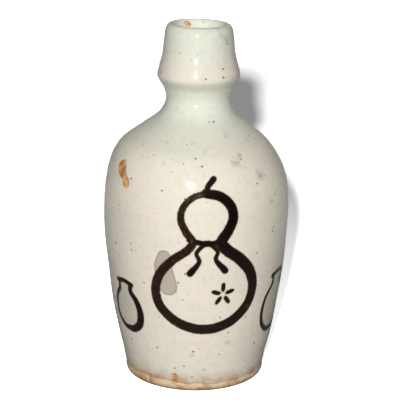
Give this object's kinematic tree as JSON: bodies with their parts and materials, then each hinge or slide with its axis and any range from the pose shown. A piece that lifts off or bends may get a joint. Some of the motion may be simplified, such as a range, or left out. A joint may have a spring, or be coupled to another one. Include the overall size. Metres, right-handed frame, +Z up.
{
  "type": "sake bottle",
  "caption": "Hand-thrown stoneware sake bottle with a round body, narrow waisted neck, collared mouth and turned foot, glazed inside and out, for warming and pouring sake.",
  "frame": {"origin": "centre of the foot ring, on the plane the bottle stands on", "axes": "+Z up along the axis the bottle is turned about, from the foot to the mouth; -Y is the painted front, +X is on the right of someone who looks at the front"},
  "size_m": [0.086, 0.086, 0.165],
  "materials": {
    "bare_clay": "matt, bare fired clay",
    "outer_glaze": "gloss",
    "inner_glaze": "gloss"
  },
  "bodies": {
    "root": {"clay_body": "bare_clay", "clay_neck": "bare_clay", "outer_glaze": "outer_glaze", "inner_glaze": "inner_glaze"}
  },
  "joints": []
}
